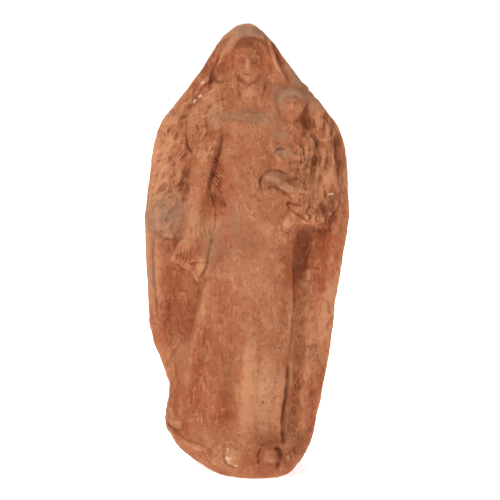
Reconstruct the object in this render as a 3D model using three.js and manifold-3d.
// Terracotta relief of a veiled mother with a child on her arm, standing in the hollow of her mantle.
// It is hand-built clay: a plinth, mantle slabs, a hood and hollow gown shells are luted together, and
// rolls and lumps of clay are pressed on for the limbs, the hair, the folds and the child.
// Millimetres. +Z is up, the figure faces -Y, and the origin is the middle of the flat underside.
// "Depth" is the distance forward of the flat plane that the back was laid on.

import * as THREE from "three";
import { mergeVertices } from "three/addons/utils/BufferGeometryUtils.js";
import Module from "manifold-3d";

const wasm = await Module();
wasm.setup();

// Driving dimensions
const HEIGHT = 450; // from the underside to the top of the hood
const ORIGIN_DEPTH = 44; // depth of the origin, forward of the back plane
const WALL = 14; // thickness of the gown shells
const SLAB = 13; // thickness of the mantle slabs
const SEAM = 0.5; // clearance in each luted seam
const HOOD_FOOT = 350; // height of the seam between the hood and the mantle
const WAIST = 246; // height of the seam between the skirt and the bodice
const PLINTH_TOP = 40;
const WINDOW = 36; // half the width of the opening that hollows the back

// Clay colours
const CLAY = 0xb8683f;
const RED_CLAY = 0xad5a35;
const PALE_CLAY = 0xc07a52;
const DUSTY_CLAY = 0xa07660;

const clamp = THREE.MathUtils.clamp;
const smoothstep = THREE.MathUtils.smoothstep;

// Catmull-Rom blend of four numbers.
function blend(a, b, c, d, t) {
  const before = (c - a) / 2;
  const after = (d - b) / 2;
  const square = 3 * (c - b) - 2 * before - after;
  const cube = 2 * (b - c) + before + after;
  return b + before * t + square * t * t + cube * t * t * t;
}

// A smooth function of height through [height, value] knots.
function profile(...knots) {
  return (z) => {
    let i = knots.findIndex(([height]) => height > z);
    if (i < 0) i = knots.length - 1;
    i = Math.max(i, 1);
    const [a, b, c, d] = [i - 2, i - 1, i, i + 1].map((k) => knots[clamp(k, 0, knots.length - 1)]);
    return blend(a[1], b[1], c[1], d[1], clamp((z - b[0]) / (c[0] - b[0]), 0, 1));
  };
}

// Rows of numbers between key rows, each column following a smooth curve.
function between(keys, steps) {
  return Array.from({ length: steps + 1 }, (_, k) => {
    const at = (k / steps) * (keys.length - 1);
    const i = Math.min(Math.floor(at), keys.length - 2);
    const [a, b, c, d] = [i - 1, i, i + 1, i + 2].map((n) => keys[clamp(n, 0, keys.length - 1)]);
    return b.map((_, column) => blend(a[column], b[column], c[column], d[column], at - i));
  });
}

// An outline moved outwards by a distance, corner by corner.
function grown(outline, distance) {
  const normals = outline.map((p, i) => {
    const next = outline[(i + 1) % outline.length];
    return new THREE.Vector2(next.y - p.y, p.x - next.x).normalize();
  });
  return outline.map((p, i) => {
    const [a, b] = [normals.at(i - 1), normals[i]];
    const corner = a.clone().add(b);
    return p.clone().addScaledVector(corner, distance / Math.max(0.4, 1 + a.dot(b)));
  });
}

// A section is an anticlockwise outline and the frame that places it. A skin joins sections into a closed
// solid. With a growth the solid is that much larger all round, which cuts a seam in what is luted to it.
function skin(sections, growth) {
  const count = sections[0].outline.length;
  const last = sections.length - 1;
  const points = [];
  sections.forEach(({ outline, frame }, i) => {
    const stretch = i <= 1 ? -growth : i >= last - 1 ? growth : 0;
    for (const p of grown(outline, growth))
      points.push(...new THREE.Vector3(p.x, p.y, stretch).applyMatrix4(frame));
  });
  const faces = [];
  for (let i = 0; i < last; i++)
    for (let j = 0; j < count; j++) {
      const a = i * count + j;
      const b = i * count + ((j + 1) % count);
      faces.push(a, b, b + count, a, b + count, a + count);
    }
  for (const end of [0, last]) {
    const { outline } = sections[end];
    for (const face of THREE.ShapeUtils.triangulateShape(outline, [])) {
      const anticlockwise = THREE.ShapeUtils.area(face.map((k) => outline[k])) > 0;
      if (anticlockwise === (end === 0)) face.reverse();
      faces.push(...face.map((k) => end * count + k));
    }
  }
  const geometry = new THREE.BufferGeometry();
  geometry.setAttribute("position", new THREE.Float32BufferAttribute(points, 3));
  geometry.setIndex(faces);
  const merged = mergeVertices(geometry);
  const mesh = new wasm.Mesh({
    numProp: 3,
    vertProperties: merged.attributes.position.array,
    triVerts: new Uint32Array(merged.index.array),
  });
  return new wasm.Manifold(mesh);
}

// Sections at level heights. outlineAt(height) gives the outline seen from above.
function levels(heights, outlineAt) {
  const frameAt = (z) => new THREE.Matrix4().makeTranslation(0, 0, z);
  return heights.map((z) => ({ outline: outlineAt(z), frame: frameAt(z) }));
}

// Heights spread evenly between two ends.
function spread(from, to, steps) {
  return Array.from({ length: steps + 1 }, (_, i) => from + ((to - from) * i) / steps);
}

// A roll of clay through keys of [x, depth, z, half width, half thickness], rounded off at both ends.
function roll(keys, sides, steps) {
  const rows = between(keys, steps);
  const centres = rows.map(([x, depth, z]) => new THREE.Vector3(x, -depth, z));
  const whole = centres[steps].clone().sub(centres[0]).normalize();
  const forward = Math.abs(whole.y) > 0.7;
  const middle = rows.map(([, , , width, thickness], i) => {
    const before = centres[Math.max(i - 1, 0)];
    const after = centres[Math.min(i + 1, steps)];
    const along = after.clone().sub(before).normalize();
    return { centre: centres[i], along, width, thickness };
  });
  const rounded = (end, way) => ({
    ...end,
    centre: end.centre.clone().addScaledVector(end.along, way * 0.5 * Math.min(end.width, end.thickness)),
    width: end.width * 0.6,
    thickness: end.thickness * 0.6,
  });
  return [rounded(middle[0], -1), ...middle, rounded(middle[steps], 1)].map((s) => {
    const across = forward ? new THREE.Vector3(0, 0, 1) : new THREE.Vector3(0, 1, 0);
    const u = across.cross(s.along).normalize();
    const v = s.along.clone().cross(u);
    const outline = spread(0, 2 * Math.PI, sides)
      .slice(0, sides)
      .map((a) => new THREE.Vector2(s.width * Math.cos(a), s.thickness * Math.sin(a)));
    return { outline, frame: new THREE.Matrix4().makeBasis(u, v, s.along).setPosition(s.centre) };
  });
}

// Luting: each new piece of clay is trimmed to the pieces already in place, with a seam between them.
const relief = new THREE.Group();
const placed = [];

function bounds(solid) {
  const { min, max } = solid.boundingBox();
  return new THREE.Box3(new THREE.Vector3(...min), new THREE.Vector3(...max));
}

function lute(name, colour, ...rolls) {
  const join = (growth) => wasm.Manifold.union(rolls.map((sections) => skin(sections, growth)));
  let solid = join(0);
  for (const other of placed)
    if (other.box.intersectsBox(bounds(solid))) solid = solid.subtract(other.cutter);
  const crumbs = solid.decompose().sort((a, b) => b.volume() - a.volume());
  solid = crumbs[0];
  const cutter = join(SEAM);
  placed.push({ cutter, box: bounds(cutter) });
  const { vertProperties, triVerts } = solid.getMesh();
  const geometry = new THREE.BufferGeometry();
  geometry.setAttribute("position", new THREE.BufferAttribute(vertProperties, 3));
  geometry.setIndex(new THREE.BufferAttribute(triVerts, 1));
  geometry.computeVertexNormals();
  const material = new THREE.MeshStandardMaterial({ color: colour, roughness: 0.9, metalness: 0 });
  const mesh = new THREE.Mesh(geometry, material);
  mesh.name = name;
  relief.add(mesh);
}

// --- Outer shape, as functions of height ---

const leftEdge = profile(
  [0, -46], [12, -65], [26, -79], [44, -85], [60, -83], [80, -79], [100, -84], [125, -94], [150, -100],
  [185, -100], [215, -102], [245, -102], [270, -102], [300, -96], [330, -93], [348, -88], [362, -79],
  [385, -61], [410, -43], [430, -31], [443, -20], [450, -9],
);
const rightEdge = profile(
  [0, 48], [12, 58], [26, 66], [44, 71], [60, 73], [90, 79], [130, 85], [170, 89], [210, 95], [240, 100],
  [260, 103], [300, 100], [330, 98], [348, 92], [362, 82], [385, 62], [410, 42], [430, 29], [443, 17],
  [450, 8],
);
const leftRimDepth = profile(
  [30, 26], [80, 30], [140, 38], [200, 42], [260, 42], [350, 46], [400, 56], [450, 58],
);
const rightRimDepth = profile(
  [30, 34], [80, 44], [140, 46], [200, 46], [260, 48], [350, 48], [400, 56], [450, 58],
);
// The outer face leaves the back plane towards the top, so the hood is a dome.

const backDepth = profile([0, 0], [380, 0], [410, 3], [430, 11], [443, 24], [450, 38]);

// A point of the mantle's inner face (inward 1) or outer face (inward 0). across runs from -1 at the left
// rim to 1 at the right rim, and the mantle curls forward towards both.
const CURL = 2.6; // of the outer face
const LINING = 1.5; // of the inner face, which is thicker between the middle and the rims
function mantlePoint(z, across, inward) {
  const left = leftEdge(z);
  const right = rightEdge(z);
  const rim = (across < 0 ? leftRimDepth : rightRimDepth)(z);
  const half = (right - left) / 2;
  const curl = Math.abs(across) ** CURL;
  const steep = clamp((CURL * rim * Math.abs(across) ** (CURL - 1)) / Math.max(half, rim), 0, 1);
  const inset = inward * Math.min(SLAB * steep, 0.5 * half * Math.abs(across));
  const x = (left + right) / 2 + across * half - Math.sign(across) * inset;
  const back = backDepth(z);
  const rise = inward ? Math.abs(across) ** LINING : curl;
  const depth = back + (rim - back) * rise + inward * SLAB * Math.sqrt(1 - 0.75 * steep * steep);
  return new THREE.Vector2(x, -depth);
}

// The mantle between two places across it, seen from above.
function mantleOutline(z, from, to, steps) {
  const across = spread(from, to, steps);
  const inner = across.map((s) => mantlePoint(z, s, 1));
  const outer = across.map((s) => mantlePoint(z, s, 0));
  return [...inner, ...outer.reverse()];
}

// The place across the mantle of a given x.
function acrossAt(z, x) {
  const left = leftEdge(z);
  const right = rightEdge(z);
  return clamp((2 * x - left - right) / (right - left), -1, 1);
}

// --- Ground, mantle and hood ---

const plinthFront = profile([0, 80], [10, 87], [22, 87], [32, 80], [PLINTH_TOP, 70]);
const PLINTH_BULGE = 0.8; // below 1 is squarer than an ellipse
const PLINTH_BEVEL = 6; // its back corners are pressed off by this much
const PLINTH_LEAN = 8; // its front bulges to the right by this much

function plinthOutline(z) {
  const left = leftEdge(z) + 1;
  const right = rightEdge(z) - 1;
  const middle = (left + right) / 2;
  const half = (right - left) / 2;
  const reach = plinthFront(z) - PLINTH_BEVEL;
  const curve = spread(0, Math.PI, 14).map((a) => {
    const side = Math.sign(Math.cos(a)) * Math.abs(Math.cos(a)) ** PLINTH_BULGE;
    const x = middle - half * side + PLINTH_LEAN * Math.sin(a);
    return new THREE.Vector2(x, -PLINTH_BEVEL - reach * Math.sin(a) ** PLINTH_BULGE);
  });
  const flat = half - 2 * PLINTH_BEVEL;
  return [...curve, new THREE.Vector2(middle + flat, 0), new THREE.Vector2(middle - flat, 0)];
}
lute("plinth", CLAY, levels([0, 5, 13, 22, 31, PLINTH_TOP], plinthOutline));

const wingHeights = spread(PLINTH_TOP + SEAM, HOOD_FOOT, 14);
const leftWingOutline = (z) => mantleOutline(z, -1, acrossAt(z, -WINDOW), 6);
const rightWingOutline = (z) => mantleOutline(z, acrossAt(z, WINDOW), 1, 6);
lute("mantle_left_wing", RED_CLAY, levels(wingHeights, leftWingOutline));
lute("mantle_right_wing", RED_CLAY, levels(wingHeights, rightWingOutline));

// The hood's hollow closes above the head: its inner face comes forward to a thick rim.
const CLOSING_START = 418;
const CLOSING_END = 442;
const RIM_THICKNESS = 6;

function hoodOutline(z) {
  const closing = smoothstep(z, CLOSING_START, CLOSING_END);
  const across = spread(-1, 1, 12);
  const inner = across.map((s) => {
    const p = mantlePoint(z, s, 1);
    const rim = (s < 0 ? leftRimDepth : rightRimDepth)(z) + RIM_THICKNESS;
    return new THREE.Vector2(p.x, THREE.MathUtils.lerp(p.y, Math.min(-rim, p.y), closing));
  });
  const outer = across.map((s) => mantlePoint(z, s, 0));
  return [...inner, ...outer.reverse()];
}
lute("hood", RED_CLAY, levels([...spread(HOOD_FOOT + SEAM, 432, 7), 440, 446, HEIGHT], hoodOutline));

// Nothing luted inside the mantle comes through it or reaches behind its rims.
const TRIM = 3; // how far into the slab the clay is trimmed
const FAR = 40;

function behindOutline(z) {
  const face = spread(-1, 1, 14).map((s) => mantlePoint(z, s, 0).add(new THREE.Vector2(0, -TRIM)));
  const left = leftEdge(z) - FAR;
  const right = rightEdge(z) + FAR;
  return [
    new THREE.Vector2(left, face[0].y), ...face, new THREE.Vector2(right, face.at(-1).y),
    new THREE.Vector2(right, FAR), new THREE.Vector2(left, FAR),
  ];
}
const behind = skin(levels(spread(PLINTH_TOP, HEIGHT + 1, 24), behindOutline), 0);

// --- The hollow gown ---

const gownLeft = profile(
  [28, -74], [60, -69], [98, -62], [138, -57], [178, -52], [218, -43], [246, -38], [300, -35], [345, -34],
  [372, -28],
);
const gownRight = profile(
  [28, 42], [78, 44], [108, 48], [138, 51], [178, 54], [218, 56], [246, 56], [300, 46], [345, 36],
  [372, 30],
);
const gownFront = profile([28, 84], [60, 82], [100, 79], [150, 76], [200, 74], [246, 70], [300, 66],
  [345, 62], [372, 54]);
const GOWN_FOOT = 28; // the skirt is pressed down over the plinth to this height
const GOWN_TOP = 372;
const GOWN_BASE = 12; // depth where the shells meet the mantle
const GOWN_BULGE = 0.75;
const SHOULDERS = [330, 356]; // the bodice's hollow closes between these heights

// A shell open to the back. fill closes its hollow, from 0 for a full hollow to 1 for solid clay.
function gownOutline(z, fill) {
  const middle = (gownRight(z) + gownLeft(z)) / 2;
  const side = (inset) => {
    const half = (gownRight(z) - gownLeft(z)) / 2 - inset;
    const reach = gownFront(z) - inset - GOWN_BASE;
    return spread(0, Math.PI, 12).map((a) => {
      const x = Math.sign(Math.cos(a)) * Math.abs(Math.cos(a)) ** GOWN_BULGE;
      return new THREE.Vector2(middle - half * x, -GOWN_BASE - reach * Math.sin(a) ** GOWN_BULGE);
    });
  };
  const inner = side(WALL);
  for (const p of inner) p.y = THREE.MathUtils.lerp(p.y, -GOWN_BASE, fill * 0.98);
  return [...side(0), ...inner.reverse()];
}
lute("skirt", PALE_CLAY, levels(spread(GOWN_FOOT, WAIST, 9), (z) => gownOutline(z, 0)));
lute("bodice", CLAY,
  levels(spread(WAIST + SEAM, GOWN_TOP, 8), (z) => gownOutline(z, smoothstep(z, ...SHOULDERS))));
placed.push({ cutter: behind, box: bounds(behind) });

// --- The mother's head ---
lute("neck", PALE_CLAY,
  roll([[1, 35, 366, 18, 21], [1, 35, 384, 14, 20], [2, 36, 400, 14, 20]], 10, 3));
lute("head", PALE_CLAY,
  roll([[2, 43, 399, 9, 15], [2, 43, 407, 14, 20], [2, 43, 419, 17, 23], [2, 43, 430, 16, 21],
    [2, 43, 437, 10, 14]], 14, 8));
lute("hair_left", CLAY,
  roll([[-1, 54, 439, 6, 9], [-15, 47, 429, 9, 16], [-22, 38, 412, 10, 21], [-25, 36, 397, 12, 20],
    [-22, 38, 380, 13, 19], [-20, 42, 370, 12, 15]], 10, 9));
lute("hair_right", CLAY,
  roll([[5, 54, 439, 6, 9], [19, 47, 429, 9, 16], [27, 38, 412, 10, 21], [31, 36, 397, 12, 20],
    [27, 38, 380, 13, 19], [26, 42, 370, 12, 15]], 10, 9));

// --- Cloth over the shoulders and arms ---
lute("collar", DUSTY_CLAY,
  roll([[-31, 50, 371, 4, 5], [-16, 60, 366, 5, 5], [2, 64, 363, 5, 5], [20, 60, 366, 5, 5],
    [33, 50, 372, 4, 5]], 8, 10));
lute("veil_fold", PALE_CLAY,
  roll([[-26, 46, 390, 11, 13], [-36, 45, 380, 18, 16], [-48, 43, 362, 18, 17], [-55, 42, 342, 14, 15],
    [-58, 40, 322, 7, 11]], 12, 9));
lute("cloak_left", CLAY,
  roll([[-70, 45, 360, 14, 12], [-74, 45, 334, 18, 14], [-77, 44, 300, 20, 14], [-80, 42, 266, 19, 14],
    [-78, 40, 242, 15, 11]], 12, 8));
lute("cloak_right", CLAY,
  roll([[66, 44, 366, 14, 13], [73, 45, 338, 19, 15], [74, 46, 304, 21, 16], [72, 46, 274, 20, 16],
    [68, 42, 256, 14, 12]], 12, 8));

// --- The mother's right arm and hand, on the left of the relief ---
lute("sleeve", PALE_CLAY,
  roll([[-31, 48, 362, 10, 10], [-38, 52, 336, 14, 14], [-45, 54, 304, 13, 14], [-50, 54, 270, 12, 13],
    [-52, 54, 244, 11, 12]], 12, 9));

// One finger of a hand, from its knuckle to its tip, a little bent.
function finger(from, to, radius) {
  const joint = from.map((v, i) => (v + to[i]) / 2 + (i === 1 ? 2 : 0));
  const tip = radius * 0.8;
  return roll([[...from, radius, radius], [...joint, radius, radius], [...to, tip, tip]], 6, 2);
}
const FINGERS = [0, 1, 2, 3];
lute("right_hand", CLAY,
  roll([[-52, 55, 244, 9, 7], [-57, 57, 233, 12, 7], [-61, 56, 222, 12, 6]], 10, 3),
  ...FINGERS.map((i) =>
    finger([-53 - 5.4 * i, 58, 223 + 1.5 * i], [-59 - 5.2 * i, 54, 206 + 3.5 * i], 3.4)));
lute("held_fold", PALE_CLAY,
  roll([[-44, 52, 226, 5, 5], [-46, 53, 213, 6, 5], [-49, 50, 197, 3, 4]], 8, 4));

// --- The child ---
lute("child_body", CLAY,
  roll([[43, 58, 356, 11, 11], [43, 60, 340, 16, 14], [45, 60, 318, 18, 15], [48, 58, 298, 17, 15],
    [50, 56, 284, 12, 12]], 12, 7));
lute("child_head", PALE_CLAY,
  roll([[43, 62, 362, 7, 9], [43, 62, 369, 12, 13], [44, 61, 379, 14, 15], [45, 60, 388, 12, 13]], 12, 6));
lute("child_hair", DUSTY_CLAY,
  roll([[27, 55, 376, 4, 6], [32, 57, 388, 6, 9], [45, 58, 394, 8, 10], [57, 56, 389, 6, 9],
    [61, 54, 378, 4, 6]], 8, 8));
lute("child_right_arm", CLAY,
  roll([[29, 64, 348, 6, 6], [24, 70, 335, 6, 6], [31, 74, 322, 5, 5], [40, 75, 318, 4, 4]], 8, 6));
lute("child_left_arm", CLAY,
  roll([[59, 58, 348, 6, 7], [63, 62, 330, 6, 7], [55, 70, 318, 5, 5]], 8, 5));
lute("child_right_leg", DUSTY_CLAY,
  roll([[56, 62, 288, 8, 9], [42, 70, 294, 8, 8], [27, 70, 302, 6, 6], [19, 68, 304, 6, 5]], 8, 6));
lute("child_left_leg", CLAY,
  roll([[56, 60, 278, 8, 8], [46, 68, 268, 7, 7], [38, 68, 256, 6, 6]], 8, 5));

// --- The mother's left hand, under the child ---
lute("left_hand", PALE_CLAY,
  roll([[72, 52, 262, 9, 10], [60, 60, 263, 10, 8], [54, 63, 264, 10, 6]], 10, 3),
  ...FINGERS.map((i) => finger([54 - i, 66, 272 - 5.6 * i], [39 + i, 68, 276 - 6.4 * i], 3)));

// --- Folds of the gown and the mantle, and the feet ---
lute("skirt_fold_left", PALE_CLAY,
  roll([[-34, 59, 196, 8, 6], [-42, 60, 150, 12, 8], [-52, 57, 100, 14, 8], [-59, 58, 58, 14, 8]], 8, 6));
lute("skirt_fold_middle", PALE_CLAY,
  roll([[6, 70, 190, 8, 6], [2, 72, 140, 12, 8], [-2, 74, 90, 14, 9], [-2, 77, 50, 13, 9]], 8, 6));
lute("skirt_fold_right", PALE_CLAY,
  roll([[48, 51, 236, 7, 7], [44, 58, 190, 9, 8], [40, 60, 130, 10, 9], [35, 62, 80, 11, 11],
    [31, 66, 48, 11, 11]], 8, 8));
lute("mantle_fold_right", RED_CLAY,
  roll([[66, 30, 190, 6, 8], [62, 38, 140, 9, 12], [58, 44, 96, 9, 14], [55, 46, 60, 9, 14],
    [53, 46, 40, 8, 12]], 10, 7));
lute("skirt_flare", CLAY,
  roll([[-64, 38, 88, 8, 12], [-67, 41, 66, 13, 20], [-69, 43, 50, 14, 22], [-66, 44, 40, 11, 18]], 12, 5));
lute("right_foot", RED_CLAY, roll([[22, 60, 29, 11, 10], [22, 76, 24, 11, 11], [22, 83, 21, 10, 9]], 10, 4));
lute("left_foot", PALE_CLAY, roll([[-18, 66, 29, 8, 9], [-17, 77, 25, 8, 9], [-17, 84, 22, 7, 8]], 10, 4));
lute("hem", CLAY,
  roll([[-76, 44, 46, 4, 5], [-58, 66, 39, 4, 5], [-32, 80, 35, 4, 5], [-8, 86, 31, 4, 5],
    [14, 86, 32, 4, 5], [30, 84, 36, 4, 5], [44, 74, 38, 4, 5]], 8, 14));

relief.position.set(0, ORIGIN_DEPTH, 0);

export default relief;
